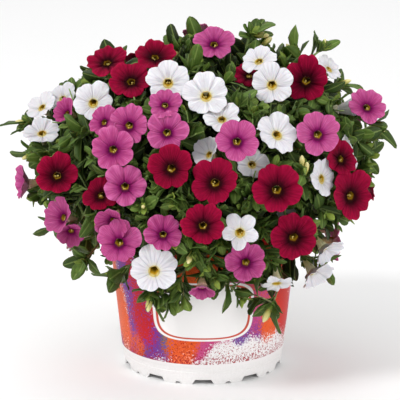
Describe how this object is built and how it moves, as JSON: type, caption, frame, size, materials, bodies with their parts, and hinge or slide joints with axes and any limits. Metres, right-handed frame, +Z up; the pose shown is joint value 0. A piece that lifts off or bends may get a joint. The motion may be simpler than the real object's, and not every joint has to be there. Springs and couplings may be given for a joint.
{
  "type": "potted calibrachoa",
  "caption": "Bushy calibrachoa in full flower, with small trumpet-shaped white, crimson and pink blooms on a round mound of leafy stems, in a tapered nursery pot.",
  "frame": {"origin": "centre of the whole plant's bounding box, on the plane that the pot stands on; the pot's axis is 3.35 mm to +X and 2.9 mm to +Y of it", "axes": "+Z up along the pot's axis; the side in the picture faces -Y, and +X is to its right"},
  "size_m": [0.2752, 0.2445, 0.2453],
  "materials": {
    "pot": "printed satin label on white matte plastic",
    "soil": "moist crumbly potting soil",
    "foliage": "matt living leaf",
    "white_petal": "matt petal",
    "crimson_petal": "velvety petal",
    "pink_petal": "matt petal"
  },
  "bodies": {
    "root": {"bloom_pink_01": "pink_petal", "bloom_pink_02": "pink_petal", "bloom_pink_03": "pink_petal", "bloom_pink_04": "pink_petal", "bloom_pink_05": "pink_petal", "bloom_pink_06": "pink_petal", "bloom_pink_07": "pink_petal", "bloom_pink_08": "pink_petal", "bloom_pink_09": "pink_petal", "bloom_pink_10": "pink_petal", "bloom_pink_11": "pink_petal", "bloom_pink_12": "pink_petal", "bloom_pink_13": "pink_petal", "bloom_pink_14": "pink_petal", "bloom_pink_15": "pink_petal", "bloom_pink_16": "pink_petal", "bloom_pink_17": "pink_petal", "bloom_pink_18": "pink_petal", "bloom_pink_19": "pink_petal", "bloom_red_01": "crimson_petal", "bloom_red_02": "crimson_petal", "bloom_red_03": "crimson_petal", "bloom_red_04": "crimson_petal", "bloom_red_05": "crimson_petal", "bloom_red_06": "crimson_petal", "bloom_red_07": "crimson_petal", "bloom_red_08": "crimson_petal", "bloom_red_09": "crimson_petal", "bloom_red_10": "crimson_petal", "bloom_red_11": "crimson_petal", "bloom_red_12": "crimson_petal", "bloom_red_13": "crimson_petal", "bloom_red_14": "crimson_petal", "bloom_red_15": "crimson_petal", "bloom_white_01": "white_petal", "bloom_white_02": "white_petal", "bloom_white_03": "white_petal", "bloom_white_04": "white_petal", "bloom_white_05": "white_petal", "bloom_white_06": "white_petal", "bloom_white_07": "white_petal", "bloom_white_08": "white_petal", "bloom_white_09": "white_petal", "bloom_white_10": "white_petal", "bloom_white_11": "white_petal", "bloom_white_12": "white_petal", "bloom_white_13": "white_petal", "bloom_white_14": "white_petal", "bloom_white_15": "white_petal", "bloom_white_16": "white_petal", "bloom_white_17": "white_petal", "bloom_white_18": "white_petal", "bloom_white_19": "white_petal", "bloom_white_20": "white_petal", "bloom_white_21": "white_petal", "leafy_stems_pink": "foliage", "leafy_stems_red": "foliage", "leafy_stems_white": "foliage", "pot": "pot", "soil": "soil"}
  },
  "joints": []
}
